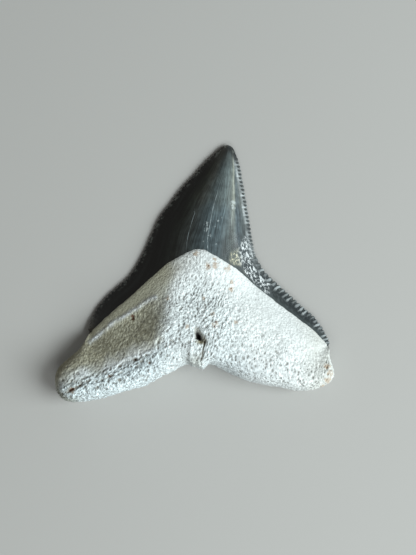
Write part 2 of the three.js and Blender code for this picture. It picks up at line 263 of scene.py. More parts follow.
even = np.linspace(0, 1, 400)
mesial_edge = smooth_line(MESIAL_SIDE, MESIAL_SHOULDER_END * even)
distal_edge = smooth_line(DISTAL_SIDE, DISTAL_SHOULDER_END * even)
root_margins = [
    smooth_line(MESIAL_SIDE, MESIAL_SHOULDER_END + (1 - MESIAL_SHOULDER_END) * even[::4]),
    smooth_line(MESIAL_BASE, even[::2]),
    smooth_line(DISTAL_BASE, even[::2]),
    smooth_line(DISTAL_SIDE, DISTAL_SHOULDER_END + (1 - DISTAL_SHOULDER_END) * even[::4]),
]

to_mesial, along_mesial = nearest_on(mesial_edge, sheet)
to_distal, along_distal = nearest_on(distal_edge, sheet)
to_root = soft_nearest(*[nearest_on(line, sheet)[0] for line in root_margins])
to_crown = soft_nearest(to_mesial, to_distal)
lingual_neck = smooth_line(LINGUAL_NECK, even[::2])
labial_neck = smooth_line(LABIAL_NECK, even[::4])
above_lingual_neck = signed_distance(lingual_neck, sheet)
above_labial_neck = signed_distance(labial_neck, sheet)
x, y = sheet.T

# ------------------------------------------------
# The big form. The crown's lingual face climbs from both cutting edges to a rounded ridge near
# the distal side. The root swells up below the neck and rolls over to its basal margin, highest
# at the boss by the foramen. The labial face is flat, and bevelled up to the cutting edges.
# ------------------------------------------------
# Heights, and the distances from the margins over which the faces reach them.
CUTTING_EDGE_HEIGHT = 0.36
ROOT_MARGIN_HEIGHT = 1.35
MESIAL_FLANK_HEIGHT, MESIAL_FLANK_REACH = 2.6, 3.6
DISTAL_FLANK_HEIGHT, DISTAL_FLANK_REACH = 2.5, 1.35
NECK_STEP = 0.12
NECK_BLEND = 1.3
CREST_HEIGHT = 0.9
BOSS_HEIGHT = 0.7
SHELF_DROP = 0.65
TROUGH_HEIGHT = 0.3
RIDGE_ROUNDING = 0.9
ROOT_ROUNDING = 1.0
LABIAL_BEVEL = 1.4
LABIAL_ROUNDING = 1.3
# The root's highest line, from the end of the mesial lobe in to the boss and up to the apex.
MAIN_CREST = [
    (-12.9, -10.0), (-10.5, -9.15), (-8.6, -8.55), (-6.2, -7.6), (-3.75, -6.4), (-2.4, -4.28),
    (-2.02, -2.12), (-1.65, 0.24), (-1.4, 2.2), (-1.1, 6.0),
]


def climb(distance, height, reach, power=1.0):
    """A rise that starts at nothing and levels out at its height: one minus a falling exponential."""
    return height * (1 - np.exp(-((distance / reach) ** power)))


def smooth_min(a, b, rounding):
    """The smaller of two heights, less a parabola where they are closer than the rounding."""
    overlap = np.maximum(rounding - np.abs(a - b), 0) / rounding
    return np.minimum(a, b) - overlap ** 2 * rounding / 4


def quarter_round(distance, width):
    """A quarter circle: 0 at the edge, 1 at the given distance inside it."""
    return np.sqrt(1 - (1 - np.minimum(distance / width, 1)) ** 2)


def spot(middle, long, wide, slant=0.0):
    """A bell curve round a place, longer one way than the other, slanted by degrees."""
    c, s = np.cos(np.radians(slant)), np.sin(np.radians(slant))
    u = (x - middle[0]) * c + (y - middle[1]) * s
    v = (y - middle[1]) * c - (x - middle[0]) * s
    return np.exp(-(u / long) ** 2 - (v / wide) ** 2)


# The margin is low along the cutting edges and thick round the root.
root_share = smoothstep((to_crown + 0.7) / (to_crown + to_root + 1.4), 0.15, 0.85)
margin = CUTTING_EDGE_HEIGHT + (ROOT_MARGIN_HEIGHT - CUTTING_EDGE_HEIGHT) * root_share

# The crown: two flanks climb from the cutting edges and meet in the ridge.
cusp_length = DISTAL_FOOT / DISTAL_SHOULDER_END * along_distal.max()
on_distal_shoulder = smoothstep(along_distal / cusp_length, 0.8, 1.25)
distal_reach = DISTAL_FLANK_REACH + on_distal_shoulder
mesial_flank = climb(to_mesial, MESIAL_FLANK_HEIGHT, MESIAL_FLANK_REACH)
distal_flank = climb(to_distal, DISTAL_FLANK_HEIGHT, distal_reach, 1.25)
crown_form = np.maximum(smooth_min(mesial_flank, distal_flank, RIDGE_ROUNDING), 0)

# The root: its mesial and distal faces meet in the main crest, which rises into the boss.
below_neck = np.maximum(-above_lingual_neck, 0)
main_crest = smooth_line(MAIN_CREST, even[::4])
below_crest = -signed_distance(main_crest, sheet)
along_crest = nearest_on(main_crest, sheet)[1]
mesial_face = 0.69 * to_mesial ** 0.68
distal_face = distal_flank + 0.055 * to_distal
crest_rise = CREST_HEIGHT * smoothstep(along_crest, -4, 4) * (1 - smoothstep(along_crest, 10.0, 16.0))
crest_rise *= smoothstep(below_crest, -2.8, 0.5)
crest_rise *= np.exp(-np.maximum(below_crest, 0) / 7)
boss = BOSS_HEIGHT * spot((-0.2, -5.8), 4.6, 3.6)
# Its basal face rolls over to the margin, more tightly by the notch than along the lobes.
roll = 3.2 - 2.0 * spot((0.5, -8.7), 1.7, 1.5)
rolled = 3.1 + 1.4 * np.exp(-((x + 0.5) / 7.0) ** 2)
basal_face = rolled * quarter_round(to_root, roll)
# Past the crest the root flattens out at once, into a shelf that ends out on the distal lobe.
shelf = SHELF_DROP * np.exp(-((y + 2.2) / np.where(y > -2.2, 2.2, 4.5)) ** 2)
shelf *= smoothstep(below_crest, -0.7, 2.6)
shelf *= 1 - smoothstep(x, 2, 9)
# Below the neck the crown's form goes over into the root's, after one small step up.
root_faces = smooth_min(mesial_face, distal_face, 1.6) + crest_rise + boss - shelf
root_form = smooth_min(root_faces, basal_face, ROOT_ROUNDING)
root_form = crown_form + (root_form - crown_form) * smoothstep(below_neck, 0, NECK_BLEND)
root_form += climb(below_neck, NECK_STEP, NECK_STEP)
# Where the shoulders end, the crown comes down to the root's margin.
crown_form = smooth_min(crown_form, 4 * quarter_round(to_root, 3.0), 0.2)
lingual = margin + np.maximum(np.where(above_lingual_neck > 0, crown_form, root_form), 0)

# The labial face: flat, bevelled at the cutting edges, rounded at the root's margins and a little
# hollow below its enamel.
below_foot = np.maximum(-above_labial_neck, 0)
trough = TROUGH_HEIGHT * smoothstep(below_foot, 0, 0.5) * (1 - smoothstep(below_foot, 0.5, 2.4))
bevel = np.maximum(1 - to_crown / LABIAL_BEVEL, 0) ** 2
labial = trough + (margin - trough) * np.maximum(bevel, 1 - quarter_round(to_root, LABIAL_ROUNDING))
lingual[is_rim] = margin[is_rim]
labial[is_rim] = margin[is_rim]

# ------------------------------------------------
# Serrations. Both cutting edges are a row of small rounded teeth with sharp notches between
# them, fading out at the tip. They were grown with the enamel, and some are worn or chipped.
# ------------------------------------------------
SERRATION_DEPTH = 0.15
SERRATION_REACH = 0.42
RIB_HEIGHT = 0.05
RIB_REACH = 0.3
WORN_SHARE, WORN_SIZE = 0.08, 0.3


def lattice(cells, seed):
    """A number from 0 to 1 for each lattice cell, scattered as if by chance.

    The cell's whole coordinates are multiplied by large primes and added, and then the sum's 32
    bits are shifted, crossed with themselves and multiplied again.
    """
    number = (cells * np.array([73856093, 19349663, 83492791])).sum(-1) + seed * 374761393
    number = number & 0xFFFFFFFF
    number = ((number ^ (number >> 15)) * 2246822519) & 0xFFFFFFFF
    number = ((number ^ (number >> 13)) * 3266489917) & 0xFFFFFFFF
    return (number ^ (number >> 16)) / 2 ** 32


def serration_number(along, side_shares, shoulder_end):
    """How many serrations from the tip a place along an edge is; rows share them out evenly."""
    on_cusp = np.linspace(0, side_shares[0], CUSP_SERRATIONS, endpoint=False)
    shoulder_row = np.arange(SHOULDER_SERRATIONS + 1) * ROWS_PER_SERRATION
    shares = np.append(on_cusp, side_shares[shoulder_row])
    return np.interp(along / along.max() * shoulder_end, shares, np.arange(len(shares)))


def serrate(edge, gap, along, number, seed, turn):
    """The shift of each point and the rib on it, from one cutting edge.

    Across a serration the profile is the square root of half a sine wave: round, with a cusp
    at each end. It falls off with the distance from the edge as a bell curve. The turn is 1
    where the tooth's outside is on the left of the edge, and -1 where it is on the right.
    """
    run = np.linspace(0, along.max(), len(edge))
    tangent = np.gradient(edge, axis=0)
    tangent = tangent / np.hypot(*tangent.T)[:, None]
    outward = turn * np.stack([-tangent[:, 1], tangent[:, 0]], -1)
    outward = np.stack([np.interp(along, run, part) for part in outward.T], -1)
    which = np.floor(number + 1e-6).astype(np.int64)
    keys = np.stack([which, which * 0, which * 0], -1)
    size = 0.65 + 0.5 * lattice(keys, seed)
    is_worn = lattice(keys, seed + 1) < WORN_SHARE
    size = np.where(is_worn, WORN_SIZE, size) * smoothstep(along, 0.7, 2.6)
    profile = np.sqrt(np.abs(np.sin(np.pi * number)))
    fade = np.exp(-(gap / SERRATION_REACH) ** 2)
    shift = SERRATION_DEPTH * size * (profile - 0.6) * fade
    rib = RIB_HEIGHT * size * (profile - 0.5) * np.exp(-(gap / RIB_REACH) ** 2)
    return outward * shift[:, None], rib


mesial_number = serration_number(along_mesial, mesial_shares, MESIAL_SHOULDER_END)
distal_number = serration_number(along_distal, distal_shares, DISTAL_SHOULDER_END)
mesial_shift, mesial_rib = serrate(mesial_edge, to_mesial, along_mesial, mesial_number, 1, -1)
distal_shift, distal_rib = serrate(distal_edge, to_distal, along_distal, distal_number, 5, 1)
serrated = sheet + mesial_shift + distal_shift
rib = mesial_rib + distal_rib

# ------------------------------------------------
# Bone and enamel relief. The root is a porous, wrinkled bone; the enamel is smooth but for
# fine growth lines and a patch by the distal foot that soil acids etched. Both were worn in the
# ground, most along the root's crest and where the bone meets the crown.
# ------------------------------------------------
def smooth_noise(places, size, seed):
    """Random numbers on a cubic lattice of the given size, blended smoothly; runs from -1 to 1."""
    in_cells = places / size
    cell = np.floor(in_cells).astype(np.int64)
    t = in_cells - cell
    t = t * t * (3 - 2 * t)
    total = 0
    for corner in np.ndindex(2, 2, 2):
        weight = np.where(corner, t, 1 - t).prod(-1)
        total = total + weight * lattice(cell + np.array(corner), seed)
    return 2 * total - 1


def pits(places, size, radius, share, seed):
    """Round pits, one to a lattice cell in a share of the cells: 1 at a pit's middle, 0 outside.

    A pit's depth is a parabola: one minus the square of the distance over its own radius.
    """
    in_cells = places / size
    cell = np.floor(in_cells).astype(np.int64)
    depth = np.zeros(len(places))
    for step in np.ndindex(3, 3, 3):
        here = cell + np.array(step) - 1
        middle = here + np.stack([lattice(here, seed + k) for k in range(3)], -1)
        open_pit = lattice(here, seed + 3) < share
        wide = radius * (0.6 + 0.8 * lattice(here, seed + 4))
        gap = np.linalg.norm(in_cells - middle, axis=-1) / wide
        depth = np.maximum(depth, open_pit * np.maximum(1 - gap ** 2, 0))
    return depth


def near(line, width):
    """A bell curve across a drawn line: 1 on it, falling off over the given width."""
    return np.exp(-(nearest_on(smooth_line(line, even[::8]), sheet)[0] / width) ** 2)


def summed_spots(places):
    """The sum of several spots, each a middle, a length, a width, a slant and a strength."""
    return sum(strength * spot(*place) for *place, strength in places)


# Heights and depths.
FINE_PIT_DEPTH, COARSE_PIT_DEPTH, ROW_PIT_DEPTH = 0.06, 0.08, 0.15
CRACK_DEPTH, GROOVE_CRACK_DEPTH = 0.16, 0.28
GROOVE_DEPTH, FORAMEN_DEPTH, HOLLOW_DEPTH = 0.24, 1.2, 0.25
OUTER_LIP_HEIGHT, INNER_LIP_HEIGHT = 0.18, 0.1
UPPER_CREST_HEIGHT, FOLD_HEIGHT = 0.09, 0.1
LABIAL_FINE_DEPTH, LABIAL_COARSE_DEPTH = 0.08, 0.14
# Lines on the lingual face, each drawn from its mesial or its upper end.
UPPER_CREST = [
    (-9.7, -6.5), (-9.09, -5.98), (-7.92, -4.97), (-7.17, -4.47), (-6.34, -3.98), (-5.84, -3.64),
    (-5.25, -3.31), (-4.75, -2.89), (-4.2, -2.56), (-3.5, -2.3),
]
LOBE_CRACK = [
    (-12.0, -11.1), (-11.2, -10.84), (-10.5, -10.37), (-9.4, -9.9), (-8.5, -9.86), (-7.61, -9.47),
    (-7.04, -8.79), (-6.0, -7.75), (-5.45, -7.95), (-4.37, -7.57), (-3.24, -7.13),
]
SECOND_CRACK = [(-10.03, -11.16), (-9.57, -10.7), (-8.91, -10.45), (-7.99, -10.19)]
LOBE_FOLD = [
    (-8.4, -9.25), (-7.4, -8.75), (-6.9, -8.4), (-6.3, -7.9), (-5.5, -7.68), (-4.6, -7.45),
    (-3.9, -7.1), (-3.3, -6.95),
]
GROOVE = [(0.6, -6.3), (0.62, -7.2), (0.7, -8.0)]
GROOVE_CRACK = [(1.02, -6.25), (0.94, -6.55), (0.84, -7.04), (0.78, -7.7), (0.77, -8.1)]
OUTER_LIP = [(-0.22, -6.75), (-0.33, -7.43), (-0.23, -8.08), (-0.02, -8.7)]
INNER_LIP = [(0.28, -7.3), (0.41, -8.1), (0.5, -8.7)]

lingual_places = np.column_stack([sheet, lingual])
labial_places = np.column_stack([sheet, labial])


def turned(places, degrees, stretch):
    """Places turned in plan and squeezed along x, so that noise on them runs in streaks."""
    c, s = np.cos(np.radians(degrees)), np.sin(np.radians(degrees))
    u = places[:, 0] * c + places[:, 1] * s
    v = places[:, 1] * c - places[:, 0] * s
    return np.column_stack([u / stretch, v, places[:, 2]])


def clouds(size, seed):
    """Smooth noise on the lingual face."""
    return smooth_noise(lingual_places, size, seed)


def streaks(degrees, stretch, size, seed):
    """Smooth noise on the lingual face, drawn out along a direction in plan."""
    return smooth_noise(turned(lingual_places, degrees, stretch), size, seed)


lingual_enamel = above_lingual_neck + 0.035 * clouds(0.35, 11)
labial_enamel = above_labial_neck + 0.06 * smooth_noise(labial_places, 0.5, 12)
on_root = smoothstep(-lingual_enamel, 0.0, 0.5)
on_labial_root = smoothstep(-labial_enamel, 0.0, 0.5)

# The root's regions: the side above the crest, the rough mesial lobe below it, and so on.
wavering = below_crest + 0.5 * clouds(1.3, 13)
wavering += 0.25 * clouds(0.5, 14)
shaded_side = smoothstep(-wavering, -0.8, 0.9) * smoothstep(-x, 1.0, 3.0)
rough_lobe = smoothstep(below_crest, 0.0, 1.2) * smoothstep(-x, 1.5, 4.5)
middle_of_root = smoothstep(x, -4.5, -2.0) * (1 - smoothstep(x, 2.5, 6.0))
distal_lobe = smoothstep(x, 2.0, 6.0)
low_on_root = smoothstep(below_neck, 0.6, 5.0)
terrace = rough_lobe * (1 - smoothstep(below_crest, 1.2, 3.2))
low_lobe = spot((-7.3, -10.3), 3.6, 0.9, 15)
broken_end = spot((13.0, -9.3), 1.3, 2.2)

# What the bone is textured with: lumps and grain, streaks of three kinds and pits of two sizes.
lumps = 0.05 * clouds(1.4, 21) + 0.025 * clouds(0.7, 22)
lumps *= 1 - 0.5 * distal_lobe
fine_grain = 0.022 * clouds(0.2, 23)
fibres = 1 - 2 * np.abs(streaks(76, 2.6, 0.18, 24))
wrinkles = 1 - 2 * np.abs(streaks(30, 2.4, 0.24, 25))
crossing = 1 - 2 * np.abs(streaks(50, 1.6, 0.24, 26))
fine_pits = pits(turned(lingual_places, 72, 1.7), 0.26, 0.36, 0.85, 31)
coarse_pits = pits(turned(lingual_places, 30, 1.5), 0.85, 0.3, 0.45, 41)

# Its pits, with two cracks along the mesial lobe and single large holes in their own places.
pit = FINE_PIT_DEPTH * fine_pits * (0.25 + 0.75 * low_on_root) * (1 - 0.3 * shaded_side)
pit += COARSE_PIT_DEPTH * coarse_pits * (0.2 + 0.8 * low_on_root) * (1 - 0.85 * distal_lobe)
rows = pits(turned(lingual_places, 30, 2.0), 0.5, 0.36, 0.7, 46)
pit += ROW_PIT_DEPTH * rows * np.maximum(terrace, 0.6 * rough_lobe * low_on_root)
crack = near(LOBE_CRACK, 0.14) * (0.6 + 0.4 * clouds(0.4, 27))
crack += 0.6 * near(SECOND_CRACK, 0.12)
pit += CRACK_DEPTH * np.maximum(crack, 0)
pit += summed_spots([
    ((-11.32, -10.84), 0.4, 0.15, 35, 0.3), ((-10.5, -10.4), 0.2, 0.1, 30, 0.22),
    ((-11.5, -10.14), 0.22, 0.1, 30, 0.16), ((-7.74, -9.48), 0.2, 0.1, 30, 0.2),
    ((-8.45, -9.89), 0.12, 0.1, 0, 0.2), ((-9.0, -9.98), 0.1, 0.1, 0, 0.16),
    ((-5.45, -7.99), 0.2, 0.14, 20, 0.25), ((-4.09, -8.28), 0.16, 0.16, 0, 0.25),
    ((-11.28, -9.89), 0.14, 0.1, 40, 0.3), ((-8.36, -9.1), 0.16, 0.1, 60, 0.22),
    ((-12.16, -9.92), 0.12, 0.09, 30, 0.22), ((-11.41, -11.52), 0.14, 0.1, 60, 0.22),
    ((-10.87, -11.48), 0.12, 0.09, 0, 0.2), ((-9.9, -9.6), 0.16, 0.09, 30, 0.2),
    ((-9.4, -9.35), 0.12, 0.09, 30, 0.18), ((-12.2, -11.3), 0.12, 0.1, 60, 0.2),
    ((-6.9, -8.6), 0.16, 0.09, 30, 0.2), ((-10.3, -9.75), 0.12, 0.1, 30, 0.2),
    ((-5.69, -4.18), 0.2, 0.1, 80, 0.15), ((-1.96, -6.16), 0.14, 0.12, 0, 0.2),
    ((-3.29, -6.35), 0.18, 0.11, 70, 0.25), ((-2.15, -4.13), 0.11, 0.09, 0, 0.16),
])

# Fibres run up the middle and the shaded side; wrinkles run along the mesial lobe and cross there.
wrinkling = fibres * (0.06 * middle_of_root + 0.035 * shaded_side)
wrinkling += 0.018 * fibres * (distal_lobe + smoothstep(x, 9, 12))
wrinkling += wrinkles * (0.035 * rough_lobe + 0.055 * terrace)
wrinkling += 0.06 * crossing * low_lobe
wrinkling += 0.03 * crossing * (middle_of_root + rough_lobe) * low_on_root
lumps += 0.07 * rough_lobe * streaks(30, 2.2, 0.55, 28)
lumps += 0.06 * broken_end * streaks(86, 2.5, 0.4, 29)
lumps += 0.05 * broken_end * fibres
creased = spot((11.6, -8.4), 1.1, 1.7) * np.maximum(-fibres - 0.05, 0)
lumps -= 0.09 * creased
fold = near(LOBE_FOLD, 0.1) * (0.7 + 0.5 * clouds(0.35, 16))
root_relief = lumps + fine_grain + wrinkling * (0.35 + 0.65 * low_on_root) - pit + FOLD_HEIGHT * fold
root_relief += UPPER_CREST_HEIGHT * near(UPPER_CREST, 0.2)
# Between the upper crest and the crown the bone is a smooth band.
above_upper_crest = signed_distance(smooth_line(UPPER_CREST, even[::8]), sheet)
neck_band = shaded_side * smoothstep(above_upper_crest, 0.1, 0.4)
root_relief *= 1 - 0.65 * neck_band
scuffs = streaks(80, 2.0, 0.2, 15)
# A pale line along the upper crest and the fold: rubbed bone and a painted highlight where these ridges catch
# the light.
worn_crest_and_highlight = near(UPPER_CREST, 0.22) * (0.62 + 0.5 * scuffs)
worn_crest_and_highlight = np.maximum(worn_crest_and_highlight, 0.8 * fold)

# The nutrient groove: a hole at its head, two raised lips on its mesial side and a thin crack.
inside = smoothstep(to_root, 0.05, 0.5)
lips = OUTER_LIP_HEIGHT * near(OUTER_LIP, 0.2) + INNER_LIP_HEIGHT * near(INNER_LIP, 0.09)
root_relief -= GROOVE_DEPTH * near(GROOVE, 0.6) * inside
root_relief = root_relief * (1 - 0.3 * near(GROOVE, 0.5)) + lips * inside
root_relief -= 0.12 * spot((-0.75, -8.0), 0.2, 0.45)
groove_crack = near(GROOVE_CRACK, 0.07) * inside
groove_crack *= 0.75 + 0.35 * clouds(0.35, 43)
foramen = np.maximum(spot((0.42, -5.62), 0.5, 0.22, -66), spot((0.42, -5.8), 0.25, 0.2))
hollow = spot((0.85, -6.05), 0.45, 0.2, -62)
root_relief -= GROOVE_CRACK_DEPTH * groove_crack
root_relief = root_relief - FORAMEN_DEPTH * foramen - HOLLOW_DEPTH * hollow
# How much of a hole each place is: pits are coloured darker with dirt and painted shade.
cavity = pit + 0.5 * groove_crack + foramen + 0.26 * hollow
cavity = cavity + 0.42 * np.maximum(-wrinkles - 0.25, 0) * terrace + 0.35 * creased
cavity += 0.2 * np.maximum(-crossing - 0.2, 0) * low_lobe

# The enamel: growth lines up the crown, and the etched patch by the distal foot.
ETCHED = [(4.75, 2.9), (4.75, 1.9), (5.0, 0.8), (5.6, -0.3), (6.4, -1.1), (6.8, -1.5)]
etched = near(ETCHED, 0.75) + 0.7 * spot((3.7, 1.4), 0.6, 0.8)
etched *= 0.75 + 0.5 * clouds(0.8, 51)
etching = 0.05 * clouds(0.2, 52) + 0.04 * clouds(0.4, 53)
enamel_relief = 0.012 * streaks(84, 8.0, 0.5, 54)
enamel_relief += 0.02 * streaks(84, 3.0, 1.8, 55)
enamel_relief += etched * etching
lingual_relief = rib + np.where(
    lingual_enamel > 0, enamel_relief * smoothstep(lingual_enamel, 0, 0.3), root_relief * on_root
)

# The labial face has pores and pits all over its root, and faint upright folds on its enamel.
labial_fine = pits(turned(labial_places, 84, 1.6), 0.34, 0.38, 0.7, 61)
labial_fine *= 0.3 + 0.7 * smoothstep(smooth_noise(labial_places, 1.4, 62), -0.5, 0.5)
labial_pits = LABIAL_FINE_DEPTH * labial_fine
labial_pits += LABIAL_COARSE_DEPTH * pits(labial_places, 1.6, 0.2, 0.5, 66)
labial_grain = 0.04 * (1 + smooth_noise(labial_places, 0.5, 71))
labial_folds = 0.02 * (1 + smooth_noise(turned(labial_places, 88, 6.0), 0.4, 72))
labial_relief = rib - np.where(
    labial_enamel > 0, labial_folds * smoothstep(labial_enamel, 0, 0.3),
    (labial_pits + labial_grain) * on_labial_root,
)

# ------------------------------------------------
# The tooth's mesh: the sheet raised to the lingual face and lowered to the labial one. Both share
# the rim, so the tooth is one closed skin.
# ------------------------------------------------
MILLIMETRE = 0.001

is_used = np.zeros(len(sheet), bool)
is_used[labial_quads] = True
inner = np.flatnonzero(is_used & ~is_rim)
labial_id = np.arange(len(sheet))
labial_id[inner] = len(sheet) + np.arange(len(inner))
smooth_points = np.vstack([
    np.column_stack([serrated, lingual]),
    np.column_stack([serrated[inner], labial[inner]]),
])
quads = np.vstack([lingual_quads, labial_id[labial_quads[:, ::-1]]])


def point_normals(points, quads):
    """Unit normals: each quad adds the cross product of its diagonals to its four corners."""
    a, b, c, d = points[quads].transpose(1, 0, 2)
    facing = np.cross(c - a, d - b)
    total = np.zeros_like(points)
    for corner in quads.T:
        for axis in range(3):
            total[:, axis] += np.bincount(corner, facing[:, axis], len(points))
    return total / np.maximum(np.linalg.norm(total, axis=1), 1e-12)[:, None]


relief = np.append(lingual_relief, labial_relief[inner])
points = smooth_points + point_normals(smooth_points, quads) * relief[:, None]
# Nothing reaches below the flat the tooth lies on.
points[:, 2] = np.maximum(points[:, 2], 0)


def without_doubles(quads):
    """Splits quads into whole ones and the triangles that are left where two corners are one."""
    same_as_next = quads == np.roll(quads, -1, axis=1)
    whole = quads[~same_as_next.any(1)]
    pinched = quads[same_as_next.sum(1) == 1]
    keep = ~(pinched == np.roll(pinched, -1, axis=1))
    return whole, pinched[keep].reshape(-1, 3)


whole, pinched = without_doubles(quads)

scene = bpy.context.scene
tooth_mesh = bpy.data.meshes.new("fossil_tooth")
tooth_mesh.from_pydata((points * MILLIMETRE).tolist(), [], whole.tolist() + pinched.tolist())
tooth_mesh.shade_smooth()
tooth = bpy.data.objects.new("fossil_tooth", tooth_mesh)
scene.collection.objects.link(tooth)

# ------------------------------------------------
# What the tooth is made of: chalk-white porous bone with brown iron specks below the neck, and
# glossy blue-black enamel above it. It is one skin; the attributes say where each begins.
# ------------------------------------------------
# What stands for the distance to a crack on the labial face, which has none.
FAR_AWAY = 9.0
# Added to the distal serrations' numbers, so that the two edges' glints differ.
DISTAL_NUMBERS_FROM = 100
HAIRLINE = [(2.2, 7.6), (2.02, 7.0), (1.74, 6.0), (1.46, 4.47), (1.27, 3.53), (1.23, 2.3)]
SHORT_HAIRLINE = [(0.05, 5.6), (-0.17, 4.96), (-0.6, 3.4), (-0.76, 2.2)]


def beside(line):
    """Distance to a nearly upright line, positive on its distal side."""
    drawn = smooth_line(line, even[::-8])
    side = np.where(x > np.interp(y, drawn[:, 1], drawn[:, 0]), 1, -1)
    return side * nearest_on(drawn, sheet)[0]


def round_spots(places):
    """The strongest of several round spots, each a middle and a size."""
    return np.max([spot(middle, size, size) for middle, size in places], axis=0)


stain = round_spots([
    ((3.45, -1.55), 0.3), ((3.79, -4.56), 0.25), ((-2.45, -2.37), 0.28), ((0.14, 1.74), 0.36),
    ((1.3, 0.62), 0.4), ((1.85, 0.7), 0.45), ((3.15, 0.4), 0.45), ((1.9, 1.2), 0.25),
    ((12.3, -8.7), 0.35), ((12.5, -9.4), 0.4), ((12.4, -10.0), 0.45), ((11.9, -10.5), 0.3),
    ((-11.2, -10.84), 0.32), ((1.95, -4.75), 0.4), ((0.9, -2.4), 0.25), ((-0.6, -5.0), 0.25),
    ((3.5, -0.9), 0.25), ((1.7, -3.9), 0.25), ((-3.0, 0.9), 0.4),
])
iron = round_spots([
    ((-5.72, -4.06), 0.2), ((-5.66, -4.32), 0.19), ((-5.45, -7.99), 0.13), ((-4.09, -8.28), 0.12),
    ((-7.78, -9.48), 0.12), ((1.98, -4.55), 0.11), ((1.85, -4.95), 0.1), ((3.42, -1.5), 0.1),
    ((12.45, -10.1), 0.08), ((12.3, -8.75), 0.07), ((1.35, 0.62), 0.1), ((-10.5, -10.4), 0.12),
])
iron = np.maximum(iron, spot((-11.28, -10.83), 0.42, 0.16, 36))
# Small pale flakes lie along the long hairline crack and on the ridge.
flakes = round_spots([
    ((3.6, 6.45), 0.3), ((3.66, 6.0), 0.2), ((1.12, 4.5), 0.26), ((1.1, 4.0), 0.24),
    ((1.4, 3.45), 0.18), ((1.02, 2.9), 0.24), ((2.5, 5.1), 0.11), ((2.2, 4.8), 0.1),
    ((1.9, 4.3), 0.1), ((2.0, 2.6), 0.11),
])

# Mud on the shaded side and the lobes' ends; the shaded side, the mesial lobe's end and rim, the groove and
# the neck by the apex are also darkened with painted shade.
mud = summed_spots([
    ((-4.6, -5.1), 1.6, 0.7, 38, 0.32), ((-2.9, -2.8), 0.45, 0.8, 0, 0.3),
    ((-4.84, -5.34), 0.4, 0.2, -20, 0.35), ((-3.73, -5.6), 0.25, 0.4, 0, 0.35),
])
mud += 0.12 * smoothstep(x, 9.3, 12.4) * (1 + 0.7 * clouds(0.6, 83))
mud += 0.4 * spot((-11.0, -9.8), 1.0, 0.8) * (0.6 + 0.6 * clouds(0.45, 82))
grime_and_painted_shade = mud * np.maximum(shaded_side, smoothstep(np.abs(x), 9, 10))
# Painted shade: darker over the mesial part of the shaded side, towards the mesial lobe's end and along its
# rim, which turns from the light.
grime_and_painted_shade = grime_and_painted_shade + 0.38 * shaded_side * smoothstep(-x, 6.0, 10.0) + 0.16 * smoothstep(-x, 10.6, 12.6)
grime_and_painted_shade += 0.6 * (1 - smoothstep(to_root, 0.2, 0.75)) * smoothstep(-x, 10.0, 11.6)
# Grime, and painted shade in the groove, beside the outer lip and by the neck near the apex.
grime_and_painted_shade += summed_spots([
    ((0.3, -8.1), 0.6, 0.9, 0, 0.4), ((-8.65, -8.75), 0.35, 0.6, 0, 0.5),
    ((-2.5, -0.4), 1.3, 0.7, 30, 0.3), ((-1.8, 0.55), 1.5, 0.75, 30, 0.36),
    ((-9.1, -7.3), 1.0, 1.2, 0, 0.2), ((-0.5, -8.0), 0.7, 0.7, 0, 0.16),
])
dulled = summed_spots([((4.7, -8.8), 2.8, 1.2, -22, 1.0), ((-10.4, -9.35), 2.4, 0.55, 22, 0.9)])

# The bone is lighter round its middle, and smooth in one calm patch there and below the crown.
calm = spot((4.3, -4.9), 1.9, 2.3)
lightened = 0.3 * calm + summed_spots([
    ((3.4, -3.8), 2.6, 2.2, 0, 1.0), ((-1.5, -2.9), 1.6, 1.8, 0, 1.2),
    ((7.2, -5.4), 3.2, 2.0, -30, 0.6), ((0.6, -4.8), 1.8, 1.6, 0, 0.6),
    ((-7.6, -10.5), 3.0, 0.9, 15, 0.45),
])
pricked = (0.75 * distal_lobe + 0.5 * middle_of_root + 0.45 * rough_lobe) * (0.15 + 0.85 * low_on_root)
pore_share = 1 + 0.5 * rough_lobe + 0.25 * middle_of_root + 0.2 * distal_lobe * low_on_root
pores = fine_pits * (0.3 + 0.7 * low_on_root) * pore_share * on_root * (1 - 0.5 * calm)
below_crown = (1 - smoothstep(below_neck, 0.8, 3.5)) * smoothstep(x, 0, 3)
rough_bone = rough_lobe + 0.5 * middle_of_root * low_on_root + 0.2 * shaded_side

crown_share = to_mesial / np.maximum(to_mesial + to_distal, 1e-6)
numbers = np.where(to_mesial < to_distal, mesial_number, distal_number + DISTAL_NUMBERS_FROM)
distal_shoulder = on_distal_shoulder * smoothstep(to_mesial - to_distal, 0, 2)
labial_olive = 0.5 * smoothstep(smooth_noise(labial_places, 3.0, 81), -0.1, 0.8)
nothing = np.zeros(len(sheet))
